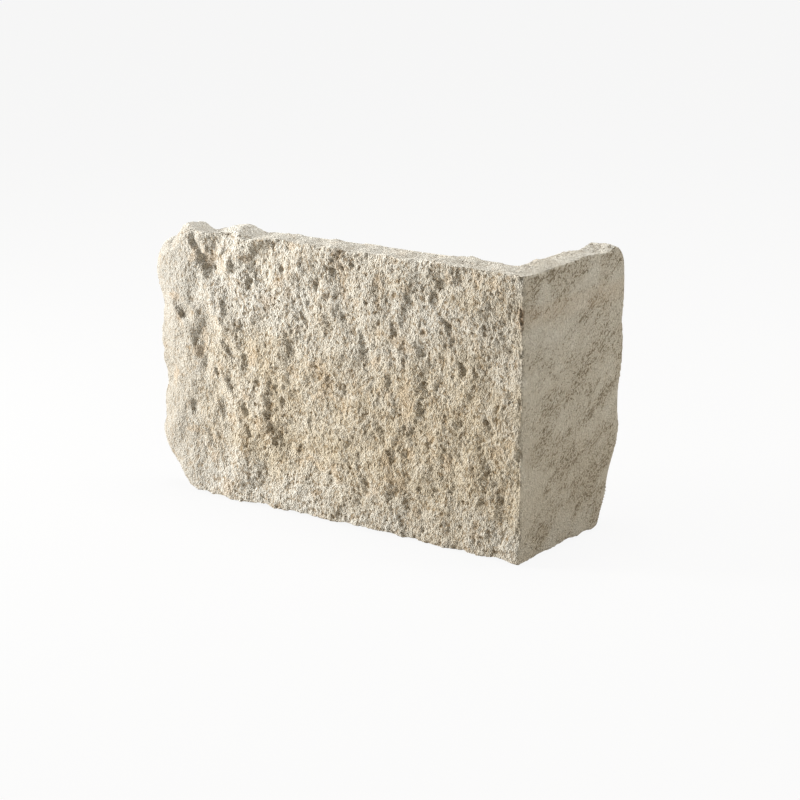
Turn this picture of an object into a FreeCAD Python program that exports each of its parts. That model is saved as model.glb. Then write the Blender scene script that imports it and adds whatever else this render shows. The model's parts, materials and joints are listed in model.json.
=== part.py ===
"""Corner piece of cast stone cladding: one L-shaped casting with a split face.

The long leg runs along X and shows its rough face towards -Y. The return leg
runs back along Y at the +X end and shows a flatter face towards +X. The two
inner faces are flat and meet in a small fillet, where the piece is bedded on
the corner of a wall. All sizes are in millimetres. The origin is under the
middle of the piece, on the surface that it stands on, with Z up.
"""

import FreeCAD, Part
import math
import os

# Overall sizes
LENGTH = 334.0
RETURN_LENGTH = 135.0
HEIGHT = 201.0
LONG_THICKNESS = 27.0
RETURN_THICKNESS = 21.0
INNER_FILLET = 5.0

# How closely the smooth faces are controlled: finely over the grooves at the left, coarsely beyond
FINE_SPACING = 10.0
FINE_REACH = 132.0
COARSE_SPACING = 20.0
UPRIGHT_SPACING = 10.0
DEGREE = 3

# How far the cutting tool reaches past the stone
CLEARANCE = 20.0

# The long face: broad swells, and the lumps that splitting leaves
LONG_FACE_SWELL = 2.2
LONG_FACE_SWELL_SIZE = 58.0
LONG_FACE_LUMP = 3.4
LONG_FACE_LUMP_SIZE = 32.0
LONG_FACE_SEED = 11

# The return face is flatter
RETURN_FACE_SWELL = 1.4
RETURN_FACE_SWELL_SIZE = 70.0
RETURN_FACE_LUMP = 0.5
RETURN_FACE_LUMP_SIZE = 22.0
RETURN_FACE_SEED = 23

# Beside the straight outer arris the roughness of both faces dies away to this depth
ARRIS_MARGIN = 16.0
ARRIS_DEPTH = 1.0

# The broken edges: the beds at the top and bottom, and the two free ends
BED_LUMP = 1.8
BED_LUMP_SIZE = 17.0
TOP_SEED = 37
BOTTOM_SEED = 41
END_LUMP = 2.6
END_LUMP_SIZE = 22.0
LEFT_SEED = 53
REAR_SEED = 67

# The long leg's free end: its face falls back, its top is rounded over and its foot broken off
MARGIN_WIDTH = 26.0
MARGIN_DEPTH = 9.0
LEFT_TOP_WIDTH = 36.0
LEFT_TOP_HEIGHT = 33.0
LEFT_FOOT_WIDTH = 30.0
LEFT_FOOT_HEIGHT = 34.0

# The return leg's free end: a small round at the top and a long break towards the foot
REAR_TOP_WIDTH = 14.0
REAR_TOP_HEIGHT = 16.0
REAR_FOOT_WIDTH = 31.0
REAR_FOOT_HEIGHT = 68.0

RIGHT = LENGTH / 2
LEFT = RIGHT - LENGTH
FRONT = -RETURN_LENGTH / 2
REAR = FRONT + RETURN_LENGTH

# What stands out of the general roughness. Each row is the distance from the outer corner, the
# height above the foot, half the length, half the width, the tilt from upright and the depth. A
# depth below 0 is a boss.
LONG_FACE_FEATURES = [
    # the groove down from the top left, the hollow at its end and the ridge to its right
    (279, 187, 17, 6.5, -30, 6.5),
    (269, 172, 10, 8.0, -50, 8.5),
    (257, 185, 17, 7.0, 12, -4.5),
    # the groove below them, how it fades downwards, and its ridge
    (290, 140, 16, 7.0, -52, 6.5),
    (282, 117, 20, 8.0, 4, 5.0),
    (262, 138, 20, 8.0, 0, -4.0),
    (254, 115, 14, 7.5, -30, 3.4),
    # the broken top arris at the left
    (242, 202, 9, 8.0, 0, -2.6),
    (231, 196, 11, 6.0, 48, 3.6),
    (216, 203, 9, 7.0, 0, -2.2),
    (146, 201, 9, 7.0, 90, 2.6),
    (97, 202, 9, 7.0, 90, 2.2),
    # the hollow left of the middle, with the lip above it
    (207, 55, 22, 9.5, -44, 6.8),
    (225, 74, 14, 7.0, -15, -2.6),
    (189, 49, 8, 7.0, -30, 3.6),
    # pits and short grooves across the middle
    (176, 168, 13, 8.0, -30, 3.2),
    (157, 184, 9, 8.0, -20, 3.0),
    (150, 151, 11, 8.0, -24, 3.2),
    (133, 132, 22, 8.0, -12, 3.8),
    (116, 71, 13, 9.0, -30, 3.6),
    (92, 171, 11, 8.0, -20, 3.0),
    (84, 134, 12, 8.0, -24, 2.8),
    (190, 135, 18, 9.0, -30, 3.0),
    (236, 100, 14, 8.0, -20, 2.8),
    (180, 74, 14, 8.0, -10, 2.6),
    (134, 40, 16, 9.0, -30, 2.8),
    # the ledges near the outer corner
    (62, 174, 22, 8.5, -14, 3.6),
    (50, 128, 14, 8.5, -28, 3.2),
    (26, 58, 20, 8.0, -26, 3.0),
    # the lower left
    (296, 68, 14, 8.0, -20, 2.8),
    (264, 42, 15, 8.0, -26, 3.0),
    (222, 22, 14, 9.0, -30, 2.4),
    # chips out of the outer arris
    (0, 163, 7, 6.0, 0, 1.6),
    (0, 24, 8, 6.0, 0, 1.2),
]

# The same for the return face, with the distance taken back along Y from the outer corner
RETURN_FACE_FEATURES = [
    (0, 163, 8, 6.0, 0, 1.8),
    (50, 165, 8, 7.0, 0, 1.4),
    (106, 109, 9, 8.0, 0, 1.6),
    (74, 60, 16, 9.0, 40, 1.4),
    (36, 108, 18, 8.0, 40, 1.0),
    (112, 160, 16, 10.0, 0, 1.8),
    (95, 24, 14, 10.0, 20, 1.8),
]

# The same for the top, with distances from the outer corner along X and along Y
TOP_FEATURES = [
    # the peak at the left, the lumps beside it and the dips between them
    (287, 8, 16, 9.0, 0, -3.4),
    (260, 12, 18, 9.0, 0, 4.6),
    (236, 12, 18, 8.0, 0, -1.0),
    (216, 12, 18, 8.0, 0, -1.4),
    (146, 6, 9, 9.0, 0, 1.4),
    (97, 6, 9, 8.0, 0, 1.2),
    # the dip behind the corner and the one before the return's end
    (14, 12, 26, 26.0, 0, 2.4),
    (10, 92, 11, 14.0, 0, 2.6),
]

# The same for the foot of the return, where small pieces have come away
FOOT_FEATURES = [
    (6, 46, 6, 14.0, 0, 1.8),
    (6, 78, 8, 14.0, 0, 2.2),
    (38, 6, 7, 9.0, 0, -1.0),
]

# Hollows of the two free ends: the distance from the face, then the height and so on
LEFT_END_FEATURES = [
    (13, 86, 62, 60.0, 0, 9.0),
]
REAR_END_FEATURES = [
    (10, 85, 24, 60.0, 0, 5.0),
    (10, 149, 8, 60.0, 0, 3.0),
    (10, 36, 9, 60.0, 0, 2.5),
]


def lattice_value(i, j, seed):
    """One repeatable random number from 0 to 1 for each corner of a square grid."""
    mixed = (i * 374761393 + j * 668265263 + seed * 1442695041) & 0xFFFFFFFF
    mixed = ((mixed ^ (mixed >> 13)) * 1274126177) & 0xFFFFFFFF
    return ((mixed ^ (mixed >> 16)) & 0xFFFF) / 65535.0


def eased(share):
    return share * share * (3 - 2 * share)


def rough(u, v, size, seed):
    """Smooth random height from 0 to 1, with lumps about as wide as size."""
    i = math.floor(u / size)
    j = math.floor(v / size)
    across = eased(u / size - i)
    up = eased(v / size - j)
    low = lattice_value(i, j, seed) * (1 - across) + lattice_value(i + 1, j, seed) * across
    high = lattice_value(i, j + 1, seed) * (1 - across) + lattice_value(i + 1, j + 1, seed) * across
    return low * (1 - up) + high * up


def fall_away(distance, width, depth):
    """Depth of a rounded edge at this distance from it: full at the edge and none past width."""
    share = max(1 - distance / width, 0.0)
    return depth * share * share


def break_off(distance, width, depth):
    """Depth of a straight break at this distance from an edge: full at the edge, none past width."""
    return depth * max(1 - distance / width, 0.0)


def features_depth(distance, height, features):
    """The hollows and bosses added up at one place of a surface."""
    total = 0.0
    for feature_distance, feature_height, half_length, half_width, tilt, depth in features:
        outward = feature_distance - distance
        upward = height - feature_height
        turn = math.radians(tilt)
        along = (upward * math.cos(turn) + outward * math.sin(turn)) / half_length
        across = (outward * math.cos(turn) - upward * math.sin(turn)) / half_width
        total += depth * math.exp(-(along * along + across * across))
    return total


def settled(depth, from_arris):
    """A face's roughness, brought to one depth beside the outer arris."""
    freedom = eased(min(from_arris / ARRIS_MARGIN, 1.0))
    return ARRIS_DEPTH + (depth - ARRIS_DEPTH) * freedom


def long_face_depth(x, z):
    """How far the long face lies behind its foremost plane at this place."""
    depth = LONG_FACE_SWELL * rough(x, z, LONG_FACE_SWELL_SIZE, LONG_FACE_SEED)
    depth += LONG_FACE_LUMP * rough(x, z, LONG_FACE_LUMP_SIZE, LONG_FACE_SEED + 1)
    depth = settled(depth, RIGHT - x)
    depth += features_depth(RIGHT - x, z, LONG_FACE_FEATURES)
    depth += fall_away(x - LEFT, MARGIN_WIDTH, MARGIN_DEPTH)
    return depth


def return_face_depth(y, z):
    """How far the return face lies behind its outermost plane at this place."""
    depth = RETURN_FACE_SWELL * rough(y, z, RETURN_FACE_SWELL_SIZE, RETURN_FACE_SEED)
    depth += RETURN_FACE_LUMP * rough(y, z, RETURN_FACE_LUMP_SIZE, RETURN_FACE_SEED + 1)
    depth = settled(depth, y - FRONT)
    depth += features_depth(y - FRONT, z, RETURN_FACE_FEATURES)
    return depth


def left_end_depth(y, z):
    """How far the long leg's free end lies inside the overall length."""
    depth = END_LUMP * rough(y, z, END_LUMP_SIZE, LEFT_SEED)
    depth += fall_away(HEIGHT - z, LEFT_TOP_HEIGHT, LEFT_TOP_WIDTH)
    depth += break_off(z, LEFT_FOOT_HEIGHT, LEFT_FOOT_WIDTH)
    depth += features_depth(y - FRONT, z, LEFT_END_FEATURES)
    return depth


def rear_end_depth(x, z):
    """How far the return leg's free end lies inside its overall length."""
    depth = END_LUMP * rough(x, z, END_LUMP_SIZE, REAR_SEED)
    depth += fall_away(HEIGHT - z, REAR_TOP_HEIGHT, REAR_TOP_WIDTH)
    depth += break_off(z, REAR_FOOT_HEIGHT, REAR_FOOT_WIDTH)
    depth += features_depth(RIGHT - x, z, REAR_END_FEATURES)
    return depth


def bed_depth(x, y, seed, features):
    """How far the top or the foot lies inside the overall height at this place."""
    depth = BED_LUMP * rough(x, y, BED_LUMP_SIZE, seed)
    depth += features_depth(RIGHT - x, y - FRONT, features)
    return depth


def block_point(a, b, c):
    """A point of the rough block, from its shares of the length, the return's length and the height."""
    x = LEFT + a * LENGTH
    y = FRONT + b * RETURN_LENGTH
    z = c * HEIGHT
    left_in = left_end_depth(y, z) * (1 - a)
    right_in = return_face_depth(y, z) * a
    front_in = long_face_depth(x, z) * (1 - b)
    rear_in = rear_end_depth(x, z) * b
    bottom_in = bed_depth(x, y, BOTTOM_SEED, FOOT_FEATURES) * (1 - c)
    top_in = bed_depth(x, y, TOP_SEED, TOP_FEATURES) * c
    return FreeCAD.Vector(x + left_in - right_in, y + front_in - rear_in, z + bottom_in - top_in)


def even_knots(start, end, spacing):
    """Shares from start up to end, but without it, at about this spacing."""
    spans = max(round((end - start) / spacing), 1)
    return [start + (end - start) * k / spans for k in range(spans)]


def stations(knots):
    """Where the control points lie along a clamped smooth curve with these knots."""
    padded = [knots[0]] * DEGREE + knots + [knots[-1]] * DEGREE
    return [sum(padded[i + 1 : i + 1 + DEGREE]) / DEGREE for i in range(len(knots) + DEGREE - 1)]


def patch(knots_u, knots_v, point_at):
    """One smooth face over two lists of knots, whose control net is made of point_at(u, v)."""
    points = [[point_at(u, v) for v in stations(knots_v)] for u in stations(knots_u)]
    mults_u = [DEGREE + 1] + [1] * (len(knots_u) - 2) + [DEGREE + 1]
    mults_v = [DEGREE + 1] + [1] * (len(knots_v) - 2) + [DEGREE + 1]
    surface = Part.BSplineSurface()
    surface.buildFromPolesMultsKnots(
        points, mults_u, mults_v, knots_u, knots_v, False, False, DEGREE, DEGREE
    )
    return surface.toShape()


def rough_block():
    """The stone before its back is struck off: six rough faces that share their edges."""
    fine_share = FINE_REACH / LENGTH
    along = even_knots(0, fine_share, FINE_SPACING / LENGTH)
    along += even_knots(fine_share, 1, COARSE_SPACING / LENGTH) + [1]
    back = even_knots(0, 1, COARSE_SPACING / RETURN_LENGTH) + [1]
    up = even_knots(0, 1, UPRIGHT_SPACING / HEIGHT) + [1]
    faces = [
        patch(along, up, lambda a, c: block_point(a, 0, c)),
        patch(along, up, lambda a, c: block_point(a, 1, c)),
        patch(back, up, lambda b, c: block_point(0, b, c)),
        patch(back, up, lambda b, c: block_point(1, b, c)),
        patch(along, back, lambda a, b: block_point(a, b, 0)),
        patch(along, back, lambda a, b: block_point(a, b, 1)),
    ]
    shell = Part.Compound(faces)
    shell.sewShape()
    solid = Part.Solid(Part.Shell(shell.Faces))
    if solid.Volume < 0:
        solid.reverse()
    return solid


def wall_corner():
    """The corner of the wall behind the stone: a square post with one rounded edge."""
    inner = FreeCAD.Vector(RIGHT - RETURN_THICKNESS, FRONT + LONG_THICKNESS, -CLEARANCE)
    run_x = inner.x - LEFT + CLEARANCE
    run_y = REAR - inner.y + CLEARANCE
    top = FreeCAD.Vector(0, 0, HEIGHT + 2 * CLEARANCE)
    bend = inner + FreeCAD.Vector(-INNER_FILLET, INNER_FILLET, 0)
    middle = bend + FreeCAD.Vector(math.sqrt(0.5), -math.sqrt(0.5), 0) * INNER_FILLET
    long_end = inner + FreeCAD.Vector(-INNER_FILLET, 0, 0)
    return_end = inner + FreeCAD.Vector(0, INNER_FILLET, 0)
    far_left = inner + FreeCAD.Vector(-run_x, 0, 0)
    far_corner = inner + FreeCAD.Vector(-run_x, run_y, 0)
    far_rear = inner + FreeCAD.Vector(0, run_y, 0)
    outline = Part.Wire(
        [
            Part.makeLine(far_left, long_end),
            Part.Arc(long_end, middle, return_end).toShape(),
            Part.makeLine(return_end, far_rear),
            Part.makeLine(far_rear, far_corner),
            Part.makeLine(far_corner, far_left),
        ]
    )
    return Part.Face(outline).extrude(top)


def corner_stone():
    return rough_block().cut(wall_corner())


os.makedirs("parts", exist_ok=True)
stone = corner_stone()
stone.exportStep("parts/corner_stone.step")
box = stone.BoundBox
print("size", round(box.XLength, 1), round(box.YLength, 1), round(box.ZLength, 1))
print("lowest point", round(box.ZMin, 2), "volume in litres", round(stone.Volume / 1e6, 3))
print("solids", len(stone.Solids), "valid", stone.isValid())
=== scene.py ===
# %% [markdown]
# # A corner piece of cast stone cladding
#
# The real piece is one L-shaped casting. Its long face was moulded from split limestone, its short
# return was moulded from a smoother broken face, and its back is flat, so that it can be bedded on
# the corner of a wall. The frame already holds the solid at its real size, with the broad swells,
# the big grooves and the broken outline. What is left for this script is everything that makes it
# read as stone: the crumbly grain, the pits, the chipped arrises, the colour and the light.

# %% Load the frame
import json
import math

import bpy
import numpy as np
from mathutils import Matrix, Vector, noise


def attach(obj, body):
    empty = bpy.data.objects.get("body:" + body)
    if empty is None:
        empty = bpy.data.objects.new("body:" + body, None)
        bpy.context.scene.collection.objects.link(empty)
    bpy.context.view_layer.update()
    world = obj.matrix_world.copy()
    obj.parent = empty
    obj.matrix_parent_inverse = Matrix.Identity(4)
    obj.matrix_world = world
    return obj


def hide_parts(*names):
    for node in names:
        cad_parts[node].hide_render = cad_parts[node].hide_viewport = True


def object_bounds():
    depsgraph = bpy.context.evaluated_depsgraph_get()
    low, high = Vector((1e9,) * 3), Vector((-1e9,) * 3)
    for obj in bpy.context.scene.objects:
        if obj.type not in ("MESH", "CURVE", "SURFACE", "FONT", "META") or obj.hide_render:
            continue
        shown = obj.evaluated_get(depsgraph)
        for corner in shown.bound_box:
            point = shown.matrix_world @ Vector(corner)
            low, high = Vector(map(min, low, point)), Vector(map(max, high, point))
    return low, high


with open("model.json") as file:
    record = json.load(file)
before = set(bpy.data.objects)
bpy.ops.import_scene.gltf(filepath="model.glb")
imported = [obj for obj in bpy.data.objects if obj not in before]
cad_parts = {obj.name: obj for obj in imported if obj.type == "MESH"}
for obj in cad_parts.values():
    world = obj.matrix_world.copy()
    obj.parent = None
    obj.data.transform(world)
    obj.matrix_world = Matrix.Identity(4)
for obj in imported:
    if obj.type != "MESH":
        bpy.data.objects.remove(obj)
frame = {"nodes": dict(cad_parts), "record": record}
cad_low, cad_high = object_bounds()
MM = 0.001
print("frame box in mm:", [round(v / MM, 1) for v in (*cad_low, *cad_high)])

# %% [markdown]
# ## Landmarks
#
# Every place on the stone is given the way a mason would: how far from the outer corner, and how
# high above the foot. The two flat backs are mounts in the record, and the outer corner lies one
# leg's thickness outside each of them, so nothing here has to be measured a second time.

# %% Where the outer corner and the two backs are
LONG_LEG_THICKNESS = 27 * MM
RETURN_THICKNESS = 21 * MM

backs = {mount["name"]: mount["pos_m"] for mount in frame["record"]["mounts"]}
back_y = backs["long_back"][1]
back_x = backs["return_back"][0]
corner = Vector((back_x + RETURN_THICKNESS, back_y - LONG_LEG_THICKNESS, 0))
print("outer corner in mm:", [round(v / MM, 1) for v in corner])

# %% [markdown]
# ## Writing node trees as sums
#
# Both the relief and the colour are made of noise added to noise. Drawn as a picture that is a web
# of small nodes, but it is easier to read as a formula. The class below wraps one output socket,
# and its operators add the Math node that does the same to the picture.

# %% A socket that can be added, scaled and compared
class Wire:
    """One number that varies over the surface."""

    def __init__(self, graph, socket):
        self.graph = graph
        self.socket = socket

    def math(self, operation, first, second):
        return self.graph.add("ShaderNodeMath", {"operation": operation}, {0: first, 1: second})

    def __add__(self, other):
        return self.math("ADD", self, other)

    def __mul__(self, other):
        return self.math("MULTIPLY", self, other)

    def __sub__(self, other):
        return self.math("SUBTRACT", self, other)

    def __rsub__(self, other):
        return self.math("SUBTRACT", other, self)

    def __truediv__(self, other):
        return self.math("DIVIDE", self, other)

    def __rtruediv__(self, other):
        return self.math("DIVIDE", other, self)

    __radd__ = __add__
    __rmul__ = __mul__

    def step(self, start, end):
        """0 up to start and 1 from end, with a soft ramp between them."""
        settings = {"interpolation_type": "SMOOTHSTEP"}
        values = {"Value": self, "From Min": start, "From Max": end}
        return self.graph.add("ShaderNodeMapRange", settings, values)


# %% One method that adds any node
# a Mix node has a set of sockets for each kind of value, and these are the ones for colours
MIX_FACTOR, MIX_FIRST, MIX_SECOND = 0, 6, 7


class Graph:
    """A node tree that is written line by line."""

    def __init__(self, tree):
        self.tree = tree

    def add(self, kind, settings=None, values=None, output=None):
        node = self.tree.nodes.new(kind)
        for name, setting in (settings or {}).items():
            setattr(node, name, setting)
        for name, value in (values or {}).items():
            if isinstance(value, Wire):
                self.tree.links.new(value.socket, node.inputs[name])
            else:
                node.inputs[name].default_value = value
        picked = node.outputs[output] if output else next(s for s in node.outputs if s.enabled)
        return Wire(self, picked)

    def noise(self, place, size, detail, roughness):
        """Cloudy noise about 0 with lumps of about this size."""
        settings = {"noise_dimensions": "3D", "normalize": False}
        values = {"Vector": place, "Scale": 1 / size, "Detail": detail, "Roughness": roughness}
        return self.add("ShaderNodeTexNoise", settings, values)

    def cells(self, place, size):
        """Distance from the nearest of many scattered points, as a share of their spacing."""
        settings = {"voronoi_dimensions": "3D", "feature": "F1"}
        return self.add("ShaderNodeTexVoronoi", settings, {"Vector": place, "Scale": 1 / size}, "Distance")

    def shift(self, place, offset):
        return self.add("ShaderNodeVectorMath", {"operation": "ADD"}, {0: place, 1: offset})

    def leaned(self, place, lean, stretch):
        """Coordinates in which a pattern is drawn out by stretch along an axis leaned from upright."""
        values = {"Vector": place, "Rotation": lean}
        turned = self.add("ShaderNodeVectorRotate", {"rotation_type": "EULER_XYZ"}, values)
        factors = (1, 1, 1 / stretch)
        return self.add("ShaderNodeVectorMath", {"operation": "MULTIPLY"}, {0: turned, 1: factors})

    def split(self, vector):
        """The x, y and z of a vector."""
        return [self.add("ShaderNodeSeparateXYZ", None, {"Vector": vector}, axis) for axis in "XYZ"]

    def mixed(self, share, first, second):
        """The first colour where share is 0 and the second where it is 1."""
        values = {MIX_FACTOR: share, MIX_FIRST: first, MIX_SECOND: second}
        return self.add("ShaderNodeMix", {"data_type": "RGBA"}, values)


print("node helpers ready")

# %% [markdown]
# ## From the smooth solid to an even skin
#
# Grain can only be pushed out of a surface that has points to push. The solid's own triangles are
# long where it is flat, so a copy of it is remeshed into small even squares first. A voxel remesh
# does this in one step and keeps the form closed. Subdividing would keep the long triangles long.

# %% Copy the solid and remesh it
WELD_REACH = 0.01 * MM
SKIN_STEP = 0.75 * MM

cad_stone = frame["nodes"]["corner_stone"]
stone = bpy.data.objects.new("split_stone", cad_stone.data.copy())
bpy.context.scene.collection.objects.link(stone)


def applied(obj):
    """Gives the object the mesh that its modifiers make, and removes the modifiers."""
    depsgraph = bpy.context.evaluated_depsgraph_get()
    mesh = bpy.data.meshes.new_from_object(obj.evaluated_get(depsgraph))
    old = obj.data
    obj.modifiers.clear()
    obj.data = mesh
    bpy.data.meshes.remove(old)


weld = stone.modifiers.new("weld", "WELD")
weld.merge_threshold = WELD_REACH
skin = stone.modifiers.new("skin", "REMESH")
skin.mode = "VOXEL"
skin.voxel_size = SKIN_STEP
applied(stone)
print("skin points:", len(stone.data.vertices))

# %% [markdown]
# ## Hollows, ridges and chips of this very stone
#
# Some marks are this stone's own: two grooves that run down from the top left, a hollow left of the
# middle, ledges, pits, and chips along the outer arris. The solid has them as soft dips. Where the
# stone split, one side of a groove is steep and the other runs out gently, and that crispness is
# added here, because it needs points closer together than the solid has. Each row is one mark. The
# points are moved straight back from the face, so the outline stays.

# %% The marks of the long face
# distance from the outer corner, height, half length, half width, lean in degrees, depth, all in mm
LONG_MARKS = [
    # the first groove, its deep end, the lip on its left and the two ridges to its right
    (284, 189, 18, 5.5, -24, 4.4),
    (274, 173, 11, 7.0, -36, 5.2),
    (281, 177, 7, 3.5, 50, 2.2),
    (262, 190, 13, 4.5, 24, -2.2),
    (256, 176, 9, 4.0, 20, -1.9),
    (250, 181, 6, 5.0, 0, 2.7),
    (246, 196, 10, 3.5, 40, -2.2),
    (250, 192, 7, 5.0, 20, 3.0),
    (231, 197, 10, 3.5, 42, -1.6),
    (238, 193, 9, 4.5, 40, 2.2),
    # the second groove, where it turns down, and the ridges beside it
    (297, 136, 14, 5.0, -48, 4.2),
    (284, 116, 17, 6.0, -10, 1.3),
    (278, 102, 8, 4.5, -20, 1.8),
    (268, 141, 18, 5.0, -30, -2.4),
    (261, 140, 17, 5.0, 0, -1.9),
    (256, 116, 12, 5.0, -38, 2.4),
    (244, 130, 9, 4.5, 20, 2.4),
    (240, 105, 9, 4.0, 15, 2.2),
    (265, 97, 7, 3.5, -20, 2.4),
    (251, 90, 12, 5.5, -30, 3.0),
    # the hollow left of the middle with the lip and the pocket above it
    (219, 69, 6, 4.0, -10, 3.2),
    (222, 79, 12, 4.5, -10, -1.8),
    (213, 57, 14, 6.5, -42, 2.6),
    (203, 46, 9, 5.0, -40, 2.2),
    (207, 68, 13, 3.5, -62, -1.4),
    (189, 49, 7, 4.0, -42, 2.8),
    (193, 45, 6, 4.0, 60, 2.2),
    (240, 69, 8, 4.0, -30, 3.0),
    (180, 70, 12, 4.5, -8, 2.2),
    (237, 51, 10, 3.5, -8, 2.2),
    (203, 28, 11, 5.0, -30, 1.8),
    (213, 97, 10, 5.0, -25, 2.0),
    (203, 92, 8, 4.0, 30, 1.6),
    # pits and short grooves across the middle
    (228, 172, 8, 4.0, -10, 1.8),
    (236, 164, 6, 3.5, 0, 3.0),
    (204, 178, 10, 4.0, -14, 1.6),
    (174, 171, 8, 5.0, -20, 2.2),
    (157, 184, 8, 5.0, -20, 2.2),
    (150, 152, 9, 4.5, -24, 2.2),
    (186, 146, 13, 4.5, -30, 1.8),
    (196, 121, 12, 5.0, -34, 2.0),
    (168, 122, 10, 4.5, -20, 1.8),
    (133, 132, 18, 4.5, -12, 2.4),
    (152, 100, 12, 4.5, -26, 1.8),
    (116, 71, 10, 5.5, -30, 2.2),
    (107, 58, 7, 4.5, -20, 1.8),
    (134, 42, 12, 5.0, -30, 1.8),
    (160, 30, 10, 4.5, -24, 1.6),
    (92, 170, 9, 4.5, -20, 2.0),
    (84, 134, 10, 4.5, -24, 2.0),
    (106, 150, 9, 4.0, -18, 1.6),
    (110, 110, 12, 4.5, -28, 1.8),
    (82, 96, 11, 4.5, -26, 1.8),
    (70, 40, 12, 4.5, -30, 1.6),
    # the ledges and pits near the outer corner
    (66, 186, 8, 4.5, -16, 2.0),
    (73, 176, 9, 3.5, -10, 1.8),
    (62, 160, 11, 4.5, -22, 2.4),
    (45, 177, 7, 4.0, -10, 1.6),
    (50, 130, 12, 4.5, -30, 2.2),
    (33, 150, 9, 4.0, -14, 1.8),
    (28, 96, 13, 4.5, -18, 1.8),
    (26, 62, 14, 5.0, -26, 2.4),
    (16, 40, 9, 4.0, -14, 1.8),
    (50, 66, 10, 4.5, -30, 1.8),
    # the lower left
    (290, 66, 12, 5.0, -20, 2.7),
    (274, 46, 11, 4.5, -30, 2.4),
    (262, 66, 9, 4.0, -20, 2.2),
    (255, 24, 12, 5.0, -34, 2.4),
    (228, 20, 10, 4.5, -30, 1.6),
]
FACE_REACH = 14 * MM
STEEP_SHARE = 0.42
MARK_SHARE = 0.8
MARK_WIDTH = 1.1
print("marks of the long face:", len(LONG_MARKS))


# %% The shape of one mark
def eased(value, start, end):
    """0 up to start and 1 from end, with a soft ramp, for a whole array."""
    share = np.clip((value - start) / (end - start), 0, 1)
    return share * share * (3 - 2 * share)


def marks_depth(along, height, rows):
    """How far each point goes back: steep on the side that the splitting blow came from."""
    depth = np.zeros_like(along)
    for distance, rise, half_length, half_width, lean, deep in rows:
        angle = math.radians(lean)
        right = (distance * MM - along)
        up = height - rise * MM
        across = (right * math.cos(angle) - up * math.sin(angle)) / (half_width * MARK_WIDTH * MM)
        length = (right * math.sin(angle) + up * math.cos(angle)) / (half_length * MM)
        run = np.clip((across + 1) / 2, 0, 1)
        if deep < 0:
            run = 1 - run
        profile = eased(run, 0, STEEP_SHARE) * (1 - eased(run, STEEP_SHARE, 1))
        depth += deep * MM * profile * np.clip(1 - length * length, 0, 1) ** 2
    return depth


# %% [markdown]
# A mark with a clean oval outline would look stamped. Before a point is compared with the marks, it
# is shifted a little by a slow noise, so that every outline wanders as a real break does.

# %% Let the outlines wander
WANDER_SIZE = 9 * MM
WANDER = 3.0 * MM
WANDER_SPOTS = (Vector((9.3, -1.5, -7.9)), Vector((0, 0, 0)), Vector((6.3, 0.2, -2.7)))


def wandering(places):
    """A slow shift in x, y and z, the same on every run: one fixed noise, looked at in three spots."""
    shifts = [[noise.noise(Vector(p) / WANDER_SIZE + spot) for spot in WANDER_SPOTS] for p in places]
    return np.array(shifts) * WANDER


def values_of(items, name, width=1, kind=np.float32):
    """One property of all points, edges or faces of a mesh, with a row for each."""
    flat = np.empty(len(items) * width, dtype=kind)
    items.foreach_get(name, flat)
    return flat.reshape(-1, width) if width > 1 else flat


# %% Press the marks into the long face
points = values_of(stone.data.vertices, "co", 3).astype(float)
behind_face = points[:, 1] - corner.y
facing = np.flatnonzero(behind_face < FACE_REACH)
wander = wandering(points[facing])
from_corner = corner.x - points[facing, 0] + wander[:, 0]
above_foot = points[facing, 2] + wander[:, 2]
hold = 1 - eased(behind_face[facing], FACE_REACH / 2, FACE_REACH)
points[facing, 1] += marks_depth(from_corner, above_foot, LONG_MARKS) * hold * MARK_SHARE
print("points that the marks can reach:", len(facing))

# %% [markdown]
# The top left is broken as well. A peak stands at the front, and behind and beside it pieces have
# come away, so that the skyline goes up and down. The far end of the return has a dip and a lump.
# Here the points of the top move straight down or up.

# %% The marks of the top
# distance from the outer corner, how far behind the face, half extents along and behind, depth
TOP_MARKS = [
    (284, 22, 7, 14, 4.5),
    (272, 18, 6, 14, 3.5),
    (248, 20, 6, 13, -2.2),
    (228, 20, 7, 13, -1.8),
    (262, 6, 6, 8, 2.5),
    (239, 4, 4, 8, 2.0),
    (144, 4, 7, 8, 1.8),
    (99, 4, 7, 8, 1.8),
    (58, 5, 6, 8, 1.2),
    # the left shoulder and the peak
    (311, 9, 6, 14, 6.5),
    (299, 6, 4, 10, -2.6),
    # the dip and the lump at the far end of the return
    (10, 56, 16, 8, 0.8),
    (10, 106, 16, 10, 2.6),
    (10, 128, 16, 8, -2.4),
]
TOP_REACH = 12 * MM

top_height = cad_high.z
upper = np.flatnonzero(points[:, 2] > top_height - 2 * TOP_REACH)
wander = wandering(points[upper])
from_corner = corner.x - points[upper, 0] + wander[:, 0]
behind = points[upper, 1] - corner.y + wander[:, 1]
hold = eased(points[upper, 2], top_height - 2 * TOP_REACH, top_height - TOP_REACH)
for distance, back, half_along, half_behind, deep in TOP_MARKS:
    along = (from_corner - distance * MM) / (half_along * MM)
    inward = (behind - back * MM) / (half_behind * MM)
    points[upper, 2] -= deep * MM * np.exp(-(along**2 + inward**2)) * hold
print("marks on the top:", len(TOP_MARKS))

# %% [markdown]
# The outer arris of a cast piece is never sharp. The mould rounds it by a millimetre or two, and it
# chips when the piece is handled. Here every point near the arris moves inwards along the corner's
# diagonal, by a little everywhere and by more at each chip. A fine noise makes the wear crumbly.

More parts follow.
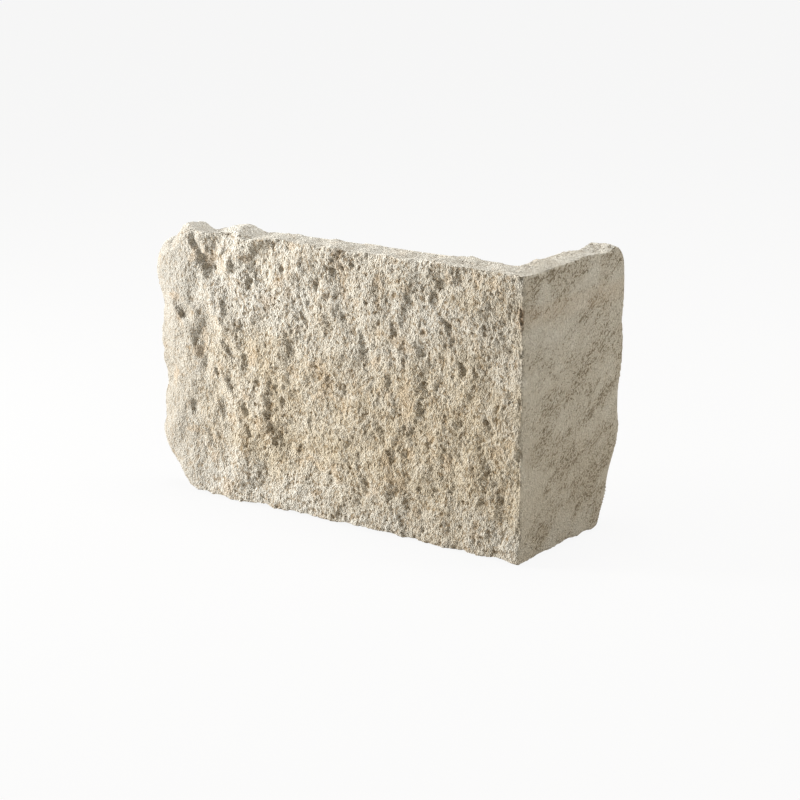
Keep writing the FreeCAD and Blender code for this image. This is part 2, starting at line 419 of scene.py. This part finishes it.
# %% The worn outer arris
# height of the middle, half height and depth of each chip in mm
ARRIS_CHIPS = [
    (196, 7, 1.6),
    (169, 9, 2.1),
    (148, 5, 1.0),
    (113, 6, 1.2),
    (86, 5, 0.8),
    (54, 6, 0.9),
    (24, 7, 1.6),
]
ARRIS_REACH = 5.5 * MM
ARRIS_WEAR = 1.2 * MM
ARRIS_UNEVEN = 2.2 * MM
ARRIS_SEED = 3.7
EDGE_WAVE = 11 * MM
EDGE_LINE = 0.5
CRUMBLE = 0.8
CRUMBLE_SIZE = 3.0 * MM
WEAR_FALL = 1.5


def unevenness(along, seed):
    """A slow wobble along an edge, the same for all points that lie at the same place along it."""
    steps = np.round(along / MM).astype(int).tolist()
    wobble = {step: noise.noise(Vector((step * MM / EDGE_WAVE, seed, EDGE_LINE))) for step in set(steps)}
    return np.array([wobble[step] for step in steps])


def from_edge(first, second):
    """How far points are from an edge, from their distances behind its two faces."""
    return np.hypot(np.clip(first, 0, None), np.clip(second, 0, None))


def worn(wear, distance, reach):
    """How far points move in: by the crumbled wear, and less the farther they are from the edge."""
    return wear * crumbled * np.clip(1 - distance / reach, 0, 1) ** WEAR_FALL


wear = ARRIS_WEAR + ARRIS_UNEVEN * unevenness(points[:, 2], ARRIS_SEED)
for middle, half_height, deep in ARRIS_CHIPS:
    offset = (points[:, 2] - middle * MM) / (half_height * MM)
    wear += deep * MM * np.clip(1 - offset * offset, 0, 1)
crumbled = 1 + CRUMBLE * np.array([noise.noise(Vector(p) / CRUMBLE_SIZE) for p in points])
inwards = worn(wear, from_edge(corner.x - points[:, 0], points[:, 1] - corner.y), ARRIS_REACH)
points[:, 0] -= inwards
points[:, 1] += inwards
print("chips on the arris:", len(ARRIS_CHIPS))

# %% [markdown]
# The front rims of the top are worn in the same way, one along the long face and one along the
# return. They wear farther in than the arris and less evenly.

# %% The worn rims of the top
RIM_REACH = 8 * MM
RIM_WEAR = 1.5 * MM
RIM_UNEVEN = 3.2 * MM
LONG_RIM_SEED = 8.3
RETURN_RIM_SEED = 5.1

rim_wear = np.clip(RIM_WEAR + RIM_UNEVEN * unevenness(points[:, 0], LONG_RIM_SEED), 0, None)
inwards = worn(rim_wear, from_edge(top_height - points[:, 2], points[:, 1] - corner.y), RIM_REACH)
points[:, 1] += inwards
points[:, 2] -= inwards

return_wear = np.clip(RIM_WEAR + RIM_UNEVEN * unevenness(points[:, 1], RETURN_RIM_SEED), 0, None)
inwards = worn(return_wear, from_edge(top_height - points[:, 2], corner.x - points[:, 0]), RIM_REACH)
points[:, 0] -= inwards
points[:, 2] -= inwards
stone.data.vertices.foreach_set("co", points.astype(np.float32).ravel())
stone.data.update()
print("most wear of a rim in mm:", round(float(rim_wear.max()) / MM, 1))

# %% [markdown]
# ## The grain of the split face
#
# Split limestone breaks round its grains. Close up that is a field of small lumps with dark pits
# between them, on top of slower swells. It follows the surface everywhere and has no single owner,
# so it is a Geometry Nodes tree with four layers: swells, lumps, rounded grains and pits. Each has
# its own named size and depth, and their sum is pushed along the normal. The return was cast from a
# smoother face, so there the layers are weak, and the flat backs stay flat.

# %% Sizes of the relief
INPUTS = {
    "Swell Size": 27 * MM,
    "Swell Depth": 3.0 * MM,
    "Lump Size": 8.0 * MM,
    "Lump Depth": 1.0 * MM,
    "Grain Size": 3.2 * MM,
    "Grain Depth": 0.9 * MM,
    "Pit Size": 2.6 * MM,
    "Pit Depth": 0.6 * MM,
    "Return Share": 0.1,
    "Bed Share": 0.75,
    "Back Share": 0.0,
}
# seed, detail and roughness of the cloudy layers, and the shares of a seed that shift x, y and z
CLOUDS = {"Swell": (0.31, 1.0, 0.5), "Lump": (1.73, 2.0, 0.5), "Pit": (4.07, 1.0, 0.5)}
SEED_SHARES = (1, 0.37, -0.61)
GRAIN_SHIFT = (0.31, 0.17, 0.53)
GRAIN_LEAN = (0, math.radians(-16), 0)
GRAIN_STRETCH = 1.12
GRAIN_MIDDLE = 0.45
PIT_FADE = (0.15, 0.55)
print("named sizes of the relief:", len(INPUTS))

# %% Where the relief is weaker
# the parts of the normal between which a face counts as the return, as a bed and as the top
RETURN_FACING = (0.55, 0.85)
BED_FACING = (0.35, 0.8)
TOP_FACING = (0.45, 0.85)
BACK_BAND = 1.2 * MM
ARRIS_BAND = (2 * MM, 9 * MM)
CALM_LEFT = -155 * MM
LEFT_BAND = 100 * MM
FINE_SHARE = 1.15
FINE_LOSS_LEFT = 0.38
LOSS_LEFT = 0.3
LOSS_AT_ARRIS = 0.5


def relief_share(given, on_return, on_back, on_bed):
    """How much of the relief shows here."""
    share = 1 + on_return * (given["Return Share"] - 1)
    share = share * (1 + on_back * (given["Back Share"] - 1))
    return share * (1 + on_bed * (given["Bed Share"] - 1))


# %% The relief tree
def relief_tree():
    tree = bpy.data.node_groups.new("split grain", "GeometryNodeTree")
    sockets = tree.interface
    sockets.new_socket("Geometry", in_out="OUTPUT", socket_type="NodeSocketGeometry")
    sockets.new_socket("Geometry", in_out="INPUT", socket_type="NodeSocketGeometry")
    for name in INPUTS:
        sockets.new_socket(name, in_out="INPUT", socket_type="NodeSocketFloat")
    sockets.new_socket("Stone", in_out="INPUT", socket_type="NodeSocketMaterial")
    g = Graph(tree)
    entry = tree.nodes.new("NodeGroupInput")
    given = {s.name: Wire(g, s) for s in entry.outputs}
    position = g.add("GeometryNodeInputPosition")
    normal = g.add("GeometryNodeInputNormal")
    x, y, _ = g.split(position)
    nx, _, nz = g.split(normal)
    place = g.leaned(position, GRAIN_LEAN, GRAIN_STRETCH)

    def cloud(layer):
        seed, detail, roughness = CLOUDS[layer]
        moved = g.shift(place, tuple(seed * share for share in SEED_SHARES))
        return g.noise(moved, given[layer + " Size"], detail, roughness)

    on_return = nx.step(*RETURN_FACING)
    on_back = (back_x + BACK_BAND - x).step(0, BACK_BAND) * (y - back_y + BACK_BAND).step(0, BACK_BAND)
    on_left = 1 - (x - CALM_LEFT).step(0, LEFT_BAND)
    by_arris = 1 - (corner.x - x).step(*ARRIS_BAND)
    share = relief_share(given, on_return, on_back, (nz * nz).step(*BED_FACING))

    grain = GRAIN_MIDDLE - g.cells(g.shift(place, GRAIN_SHIFT), given["Grain Size"])
    fine = grain * given["Grain Depth"] - cloud("Pit").step(*PIT_FADE) * given["Pit Depth"]
    grained = cloud("Lump") * given["Lump Depth"] + fine * (FINE_SHARE - on_left * FINE_LOSS_LEFT)
    height = grained * (1 - on_left * LOSS_LEFT) * (1 - by_arris * LOSS_AT_ARRIS)
    offset = (height + cloud("Swell") * given["Swell Depth"]) * share

    push = g.add("ShaderNodeVectorMath", {"operation": "SCALE"}, {0: normal, "Scale": offset})
    skin = g.add("GeometryNodeSetPosition", None, {"Geometry": given["Geometry"], "Offset": push})
    remembered = {
        "relief": height / MM,
        "grain": fine / MM,
        "on_return": on_return,
        "on_top": nz.step(*TOP_FACING),
        "on_back": on_back,
    }
    for name, value in remembered.items():
        skin = g.add(
            "GeometryNodeStoreNamedAttribute",
            {"data_type": "FLOAT", "domain": "POINT"},
            {"Geometry": skin, "Name": name, "Value": value},
        )
    whole = g.add("GeometryNodeRealizeInstances", None, {"Geometry": skin})
    faced = g.add("GeometryNodeSetMaterial", None, {"Geometry": whole, "Material": given["Stone"]})
    leave = tree.nodes.new("NodeGroupOutput")
    tree.links.new(faced.socket, leave.inputs[0])
    return tree


# %% Push the grain out of the skin
def set_inputs(modifier, values):
    """Modifier inputs are keyed by the socket's identifier, not by its name."""
    for item in modifier.node_group.interface.items_tree:
        if item.item_type == "SOCKET" and item.in_out == "INPUT" and item.name in values:
            modifier[item.identifier] = values[item.name]


cast_stone = bpy.data.materials.new("cast_stone")
cast_stone.use_nodes = True

relief = stone.modifiers.new("split grain", "NODES")
relief.node_group = relief_tree()
set_inputs(relief, {**INPUTS, "Stone": cast_stone})
applied(stone)
print("pushed points:", len(stone.data.vertices))

# %% [markdown]
# ## Thinning the skin
#
# The even skin spends as many triangles on the flat backs as on the crumbly face. A collapse
# decimation takes them away where the surface is flat and leaves them where the grain is, so the
# piece stays light without losing a pit.

# %% Collapse what is flat
TRIANGLE_BUDGET = 192000


def triangle_count(mesh):
    return sum(len(face.vertices) - 2 for face in mesh.polygons)


triangles = triangle_count(stone.data)
thin = stone.modifiers.new("thin", "DECIMATE")
thin.decimate_type = "COLLAPSE"
thin.ratio = TRIANGLE_BUDGET / triangles
applied(stone)
print("triangles before and after:", triangles, triangle_count(stone.data))

# %% [markdown]
# Smooth shading runs over every edge that isn't marked as sharp. The breaks of the stone are sharp,
# and so is the rim of each flat back, or else the shading of the rim would run onto the flat.

# %% Sharp breaks and clean rims of the flat backs
CREASE = math.radians(50)
FLAT = 0.9998

skin_mesh = stone.data
skin_mesh.shade_smooth()
skin_mesh.set_sharp_from_angle(angle=CREASE)

normals = values_of(skin_mesh.polygons, "normal", 3)
centres = values_of(skin_mesh.polygons, "center", 3)
flat_long = (normals[:, 1] > FLAT) & (centres[:, 1] > back_y - BACK_BAND)
flat_return = (normals[:, 0] < -FLAT) & (centres[:, 0] < back_x + BACK_BAND)
corners = values_of(skin_mesh.polygons, "loop_total", kind=np.int32)
edge_of_corner = values_of(skin_mesh.loops, "edge_index", kind=np.int32)
flat_corner = np.repeat(flat_long | flat_return, corners).astype(float)
flat_sides = np.bincount(edge_of_corner, weights=flat_corner, minlength=len(skin_mesh.edges))
marked = skin_mesh.attributes["sharp_edge"].data
marked.foreach_set("value", values_of(marked, "value", kind=bool) | (flat_sides == 1))
print("edges round the flat backs:", int((flat_sides == 1).sum()))

# %% [markdown]
# ## The colour of the stone
#
# The face is a pale cream that turns to buff low down, with ochre stains where iron came to the
# surface. Pits hold dust and painted shade, so they are browner. The relief that pushed the surface
# was kept on its points, and here it paints shade into the pits, so that colour and form agree.

# %% The tones of the stone
def tone(red, green, blue):
    """A colour as it is seen on screen, turned into light by the curve that screens use."""

    def linear(value):
        share = value / 255
        return share / 12.92 if share <= 0.04045 else ((share + 0.055) / 1.055) ** 2.4

    return (linear(red), linear(green), linear(blue), 1.0)


CREAM = tone(211, 207, 196)
BUFF = tone(198, 186, 163)
PALE = tone(225, 222, 212)
SHADE = tone(139, 114, 77)
OCHRE = tone(196, 158, 108)
BLEACHED = tone(162, 158, 149)
CAST_GREY = tone(196, 190, 178)
CHIP_BROWN = tone(196, 160, 118)
RETURN_TONE = tone(214, 207, 190)
RETURN_SHADE = tone(174, 159, 134)
HAIR_SHADE = tone(122, 109, 85)

# %% The patterns that carry the tones
# size, detail and roughness of each noise, and the two values of it between which it fades in
PATTERNS = {
    "mottle": (7 * MM, 3.0, 0.65, -0.1, 0.5),
    "stains": (15 * MM, 2.0, 0.5, 0.32, 0.6),
    "pores": (2.0 * MM, 1.0, 0.5, 0.22, 0.42),
    "bands": (15 * MM, 3.0, 0.6, -0.6, 0.6),
    "flecks": (24 * MM, 2.0, 0.55, -0.35, 0.35),
    "hairs": (1.1 * MM, 2.0, 0.7, 0.1, 0.5),
    "specks": (1.8 * MM, 2.0, 0.7, 0.2, 0.55),
    "scratches": (1.3 * MM, 0.0, 0.5, 0.3, 0.5),
    "dust": (0.9 * MM, 1.0, 0.6, -0.5, 0.5),
    "pinholes": (2.0 * MM, 1.0, 0.5, 0.5, 0.6),
}
# size, detail and roughness of the two noises that are used as they are
PATCHES = (34 * MM, 3.0, 0.6)
SAND = (1.2 * MM, 1.0, 0.6)


def pattern(g, name, place):
    """One of the patterns, from 0 to 1."""
    size, detail, roughness, start, end = PATTERNS[name]
    return g.noise(place, size, detail, roughness).step(start, end)


print("patterns:", ", ".join(PATTERNS))

# %% Where a point lies on the stone
BLEACHED_LEFT = -165 * MM
SPLIT_LOSS = {"back": 0.8, "left": 0.5, "arris": 0.6}


class Places:
    """Where on the stone a point lies: its coordinates, what the relief left on it, and masks."""

    def __init__(self, g):
        def kept(name):
            return g.add("ShaderNodeAttribute", {"attribute_name": name}, None, "Fac")

        self.spot = g.add("ShaderNodeTexCoord", None, None, "Object")
        self.x, self.y, self.z = g.split(self.spot)
        self.relief = kept("relief")
        self.grain = kept("grain")
        self.on_return = kept("on_return")
        self.on_top = kept("on_top")
        self.on_back = kept("on_back")
        self.on_left = 1 - (self.x - BLEACHED_LEFT).step(0, LEFT_BAND)
        self.by_arris = 1 - (corner.x - self.x).step(*ARRIS_BAND)
        split = (1 - self.on_return) * (1 - self.on_back * SPLIT_LOSS["back"])
        split = split * (1 - self.on_left * SPLIT_LOSS["left"])
        self.on_split = split * (1 - self.by_arris * SPLIT_LOSS["arris"])
        self.patches = g.noise(self.spot, *PATCHES)


# %% [markdown]
# The ground comes first: cream, and buff in a low band, in patches and towards the right. Paler
# mottle, the greyer left end, a few ochre stains and the creamier return lie over it.

# %% The ground
BAND_STARTS = (5 * MM, 50 * MM)
BAND_ENDS = (90 * MM, 160 * MM)
FACE_ENDS = (-150 * MM, 170 * MM)
BUFF_IN_BAND = 0.45
BUFF_IN_PATCHES = 0.3
BUFF_TO_RIGHT = 0.3
BUFF_LEAST = 0.18
MOTTLE_SHARE = 0.25
BLEACHED_SHARE = 0.85
STAIN_SHIFT = (3.1, 0.4, 0.9)
STAIN_SHARE = 0.2
STAIN_LOSS_BACK = 0.8
RETURN_SHARE = 0.7


def ground(g, at):
    """The colour of the dry stone, before dust and painted shade are put into its pits."""
    in_band = at.z.step(*BAND_STARTS) * (1 - at.z.step(*BAND_ENDS))
    warmth = in_band * BUFF_IN_BAND + at.patches * BUFF_IN_PATCHES
    warmth = warmth + at.x.step(*FACE_ENDS) * BUFF_TO_RIGHT + BUFF_LEAST
    colour = g.mixed(warmth.step(0, 1), CREAM, BUFF)
    colour = g.mixed(pattern(g, "mottle", at.spot) * MOTTLE_SHARE, colour, PALE)
    colour = g.mixed(at.on_left * (1 - at.on_back) * BLEACHED_SHARE, colour, BLEACHED)
    stains = pattern(g, "stains", g.shift(at.spot, STAIN_SHIFT))
    colour = g.mixed(stains * (1 - at.on_back * STAIN_LOSS_BACK) * STAIN_SHARE, colour, OCHRE)
    return g.mixed(at.on_return * RETURN_SHARE, colour, RETURN_TONE)


# %% [markdown]
# Then the hollows between the lumps and grains get their shade. The depths are the ones that the
# relief tree kept, in millimetres.

# %% The shade in the hollows
HOLLOW_DEPTHS = (-1.3, -0.1)
HOLLOW_SHARE = 0.36
SUNK_DEPTHS = (-0.8, -0.1)
SUNK_SHARE = 0.52


def hollows(g, at, colour):
    # painted shade, with dust, in the hollows between the lumps and in the sunk grains
    hollow = 1 - at.relief.step(*HOLLOW_DEPTHS)
    colour = g.mixed(hollow * HOLLOW_SHARE, colour, SHADE)
    sunk = 1 - at.grain.step(*SUNK_DEPTHS)
    return g.mixed(sunk * at.on_split * SUNK_SHARE, colour, SHADE)


# %% [markdown]
# The return is smoother, so it shows its marks as colour more than as form: leaning bands and
# flecks of brown, and on them fine hairs, specks, scratches and dust. They thin out at the arris.

# %% The marks of the return
HAIR_LEAN = (math.radians(60), 0, 0)
HAIR_STRETCH = 2.2
SPECK_STRETCH = 1.4
SCRATCH_STRETCH = 7.0
FLECK_STRETCH = 1.5
FLECK_SHIFT = (0.2, 0.9, 0.4)
LOW_RETURN = (20 * MM, 110 * MM)
BROWN = {"bands": 0.15, "flecks": 0.25, "low": 0.25}
HAIRS, SPECKS, SCRATCHES = 0.8, 0.95, 0.8
OUT_OF_BANDS, IN_BANDS = 0.3, 0.8
OUT_OF_FLECKS, IN_FLECKS = 0.4, 0.9
AT_ARRIS, OFF_ARRIS = 0.35, 0.65
ARRIS_MARGIN = (2 * MM, 16 * MM)
MARKS_SHARE = 0.9
DUST_SHARE = 0.22


def return_marks(g, at, specks, colour):
    along_hairs = g.leaned(at.spot, HAIR_LEAN, HAIR_STRETCH)
    bands = pattern(g, "bands", along_hairs)
    flecks = pattern(g, "flecks", g.leaned(g.shift(at.spot, FLECK_SHIFT), HAIR_LEAN, FLECK_STRETCH))
    low = 1 - at.z.step(*LOW_RETURN)
    browned = bands * BROWN["bands"] + flecks * BROWN["flecks"] + low * BROWN["low"]
    colour = g.mixed(at.on_return * browned, colour, RETURN_SHADE)

    hairs = pattern(g, "hairs", along_hairs)
    scratches = pattern(g, "scratches", g.leaned(at.spot, HAIR_LEAN, SCRATCH_STRETCH))
    marks = (hairs * HAIRS + specks * SPECKS) * (OUT_OF_BANDS + bands * IN_BANDS)
    marks = marks + scratches * bands * SCRATCHES
    off_arris = (at.y - corner.y).step(*ARRIS_MARGIN)
    marks = marks * (OUT_OF_FLECKS + flecks * IN_FLECKS) * (AT_ARRIS + off_arris * OFF_ARRIS)
    colour = g.mixed((at.on_return * marks).step(0, 1) * MARKS_SHARE, colour, HAIR_SHADE)
    return g.mixed(at.on_return * pattern(g, "dust", at.spot) * DUST_SHARE, colour, HAIR_SHADE)


# %% [markdown]
# Last come the finest things: dust and painted shade in the pores and in the valleys between sand
# grains on the split face, the top painted paler as a painted highlight, the brown of the large
# chip on the arris, and the grey flat backs with the pinholes that air leaves in a mould.

# %% Pores, sand, the chip and the flat backs
PORE_SHARE = 0.55
VALLEY_HEIGHTS = (-0.55, -0.05)
VALLEY_SHARE = 0.42
TOP_HIGHLIGHT_SHARE = 0.4
CHIP_HEIGHT = 169 * MM
CHIP_REACH = 10 * MM
CHIP_SHARE = 0.55
CHIP_LOSS_RETURN = 0.8
GREY_MIDDLE = 0.5
GREY_SHARE = 0.6
PINHOLE_SHARE = 0.7


def finest(g, at, sand, pores, colour):
    # painted shade, with dust, in the pores and in the valleys between sand grains
    colour = g.mixed(pores * at.on_split * PORE_SHARE, colour, SHADE)
    valleys = 1 - sand.step(*VALLEY_HEIGHTS)
    colour = g.mixed(valleys * at.on_split * VALLEY_SHARE, colour, SHADE)
    # painted highlight: the upward faces are painted paler, as light from above would make them
    colour = g.mixed(at.on_top * TOP_HIGHLIGHT_SHARE, colour, PALE)
    from_chip = (at.z - CHIP_HEIGHT) * (at.z - CHIP_HEIGHT)
    chip = at.by_arris * (1 - from_chip.step(0, CHIP_REACH**2))
    colour = g.mixed(chip * (1 - at.on_return * CHIP_LOSS_RETURN) * CHIP_SHARE, colour, CHIP_BROWN)
    greyed = (GREY_MIDDLE - at.patches * GREY_MIDDLE).step(0, 1)
    colour = g.mixed(at.on_back * greyed * GREY_SHARE, colour, CAST_GREY)
    return g.mixed(at.on_back * pattern(g, "pinholes", at.spot) * PINHOLE_SHARE, colour, SHADE)


# %% [markdown]
# The same sand, pores and specks also drive the bump, so that each dark dot is a small pit in the
# light too. A bump costs no triangles, and at this size nobody sees that the outline lacks it.

# %% The cast stone's material
PORE_LEAN = (0, math.radians(-18), 0)
PORE_STRETCH = 1.7
ROUGHNESS = 0.9
SPECULAR = 0.25
BUMP_STRENGTH = 1.0
BUMP_DISTANCE = 0.72 * MM
PORE_DEPTH = 0.7
SPECK_DEPTH = 0.5
BUMP_LOSS = {"left": 0.35, "return": 0.4, "back": 0.7}


def paint(material):
    tree = material.node_tree
    surface = tree.nodes["Principled BSDF"]
    g = Graph(tree)
    at = Places(g)
    sand = g.noise(at.spot, *SAND)
    pores = pattern(g, "pores", g.leaned(at.spot, PORE_LEAN, PORE_STRETCH))
    specks = pattern(g, "specks", g.leaned(at.spot, HAIR_LEAN, SPECK_STRETCH))

    colour = hollows(g, at, ground(g, at))
    colour = return_marks(g, at, specks, colour)
    colour = finest(g, at, sand, pores, colour)
    tree.links.new(colour.socket, surface.inputs["Base Color"])
    surface.inputs["Roughness"].default_value = ROUGHNESS
    surface.inputs["Specular IOR Level"].default_value = SPECULAR

    grit = (sand - pores * PORE_DEPTH) * (1 - at.on_left * BUMP_LOSS["left"])
    grit = grit * (1 - at.on_return * BUMP_LOSS["return"]) * (1 - at.on_back * BUMP_LOSS["back"])
    height = grit - at.on_return * specks * SPECK_DEPTH
    values = {"Strength": BUMP_STRENGTH, "Distance": BUMP_DISTANCE, "Height": height}
    tree.links.new(g.add("ShaderNodeBump", None, values).socket, surface.inputs["Normal"])


paint(cast_stone)
print("painted", cast_stone.name, "with", len(cast_stone.node_tree.nodes), "nodes")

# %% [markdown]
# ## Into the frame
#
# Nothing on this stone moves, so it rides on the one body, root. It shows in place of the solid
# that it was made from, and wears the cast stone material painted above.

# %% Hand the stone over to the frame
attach(stone, "root")
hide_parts("corner_stone")

# %% [markdown]
# ## A floor, soft light and the camera
#
# The piece stands on a plain pale floor, under a faintly warm, weak sky. The backdrop has to look
# white without lighting the stone, so floor and sky are white only for the rays that show them:
# those of the camera, those seen in a reflection and those seen through glass.

# %% Floor
FLOOR_SIZE = 40.0
FLOOR_TONE = (0.6, 0.585, 0.555, 1)
WHITE = (1, 1, 1, 1)
WHITE_SHARE = 0.93
BACKDROP_WHITE = 0.985
WHITE_RAYS = ("Is Camera Ray", "Is Glossy Ray", "Is Transmission Ray")

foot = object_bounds()[0].z
half = FLOOR_SIZE / 2
floor_corners = [(-half, -half, foot), (half, -half, foot), (half, half, foot), (-half, half, foot)]
floor_mesh = bpy.data.meshes.new("floor")
floor_mesh.from_pydata(floor_corners, [], [(0, 1, 2, 3)])
floor = bpy.data.objects.new("floor", floor_mesh)
bpy.context.scene.collection.objects.link(floor)


def shows_white(g):
    """1 for the rays that show the backdrop: seen directly, in a reflection or through glass."""
    kinds = [g.add("ShaderNodeLightPath", None, None, name) for name in WHITE_RAYS]
    return (kinds[0] + kinds[1] + kinds[2]).step(0, 1)


pale = bpy.data.materials.new("pale_floor")
pale.use_nodes = True
floor_shader = pale.node_tree.nodes["Principled BSDF"]
floor_shader.inputs["Base Color"].default_value = FLOOR_TONE
floor_shader.inputs["Roughness"].default_value = 1.0
floor_shader.inputs["Specular IOR Level"].default_value = 0.0
g = Graph(pale.node_tree)
lit = Wire(g, floor_shader.outputs[0])
glow = g.add("ShaderNodeEmission", None, {"Color": WHITE, "Strength": BACKDROP_WHITE})
blend = g.add("ShaderNodeMixShader", None, {0: shows_white(g) * WHITE_SHARE, 1: lit, 2: glow})
pale.node_tree.links.new(blend.socket, pale.node_tree.nodes["Material Output"].inputs["Surface"])
floor_mesh.materials.append(pale)
print("floor at mm:", round(foot / MM, 1))

# %% Sky
SKY_STRENGTH = 0.145
SKY_TINT = (1.0, 0.92, 0.8, 1)

world = bpy.data.worlds.new("sky")
bpy.context.scene.world = world
world.use_nodes = True
sky = world.node_tree.nodes["Background"]
g = Graph(world.node_tree)
seen = shows_white(g)
sky_colour = g.mixed(seen, SKY_TINT, WHITE)
world.node_tree.links.new(sky_colour.socket, sky.inputs["Color"])
strength = SKY_STRENGTH + seen * (BACKDROP_WHITE - SKY_STRENGTH)
world.node_tree.links.new(strength.socket, sky.inputs["Strength"])
print("sky strength:", SKY_STRENGTH)

# %% [markdown]
# Three soft lamps light the stone. The main one stands low on the left and rakes along the long
# face, so every lump throws a short shadow. One overhead opens the top, and a weak one on the right
# fills the return.

# %% The three lamps
# place and size in metres and power in watts
LAMPS = {
    "raking_lamp": (Vector((-1.00, -0.62, 0.36)), 0.42, 26.2),
    "overhead_lamp": (Vector((0.0, 0.1, 1.6)), 0.9, 20.0),
    "return_lamp": (Vector((1.3, 0.9, 0.5)), 0.8, 11.6),
}
STONE_MIDDLE = Vector((0, 0, 0.1))


def aim(obj, target):
    obj.rotation_euler = (target - obj.location).to_track_quat("-Z", "Y").to_euler()


for name, (lamp_place, size, power) in LAMPS.items():
    lamp_data = bpy.data.lights.new(name, "AREA")
    lamp_data.shape = "DISK"
    lamp_data.size = size
    lamp_data.energy = power
    lamp = bpy.data.objects.new(name, lamp_data)
    bpy.context.scene.collection.objects.link(lamp)
    lamp.location = lamp_place
    aim(lamp, STONE_MIDDLE)
print("lamps:", list(LAMPS))

# %% [markdown]
# The camera was fitted to the outline of the stone in the picture: where it stands as seen from the
# outer corner, how far it turns and looks down, and its lens.

# %% The camera
CAMERA_FROM_CORNER = Vector((0.7771, -1.2063, 0.4908))
AZIMUTH = math.radians(35.997)
PITCH = math.radians(14.675)
LENS = 100.8
SENSOR_WIDTH = 36.0

camera_data = bpy.data.cameras.new("camera")
camera_data.lens = LENS
camera_data.sensor_width = SENSOR_WIDTH
camera = bpy.data.objects.new("camera", camera_data)
bpy.context.scene.collection.objects.link(camera)
camera.location = corner + CAMERA_FROM_CORNER
gaze = Vector((-math.sin(AZIMUTH) * math.cos(PITCH), math.cos(AZIMUTH) * math.cos(PITCH), -math.sin(PITCH)))
aim(camera, camera.location + gaze)
bpy.context.scene.camera = camera
bpy.context.scene.view_settings.view_transform = "Standard"
print("camera at metres:", [round(v, 3) for v in camera.location])
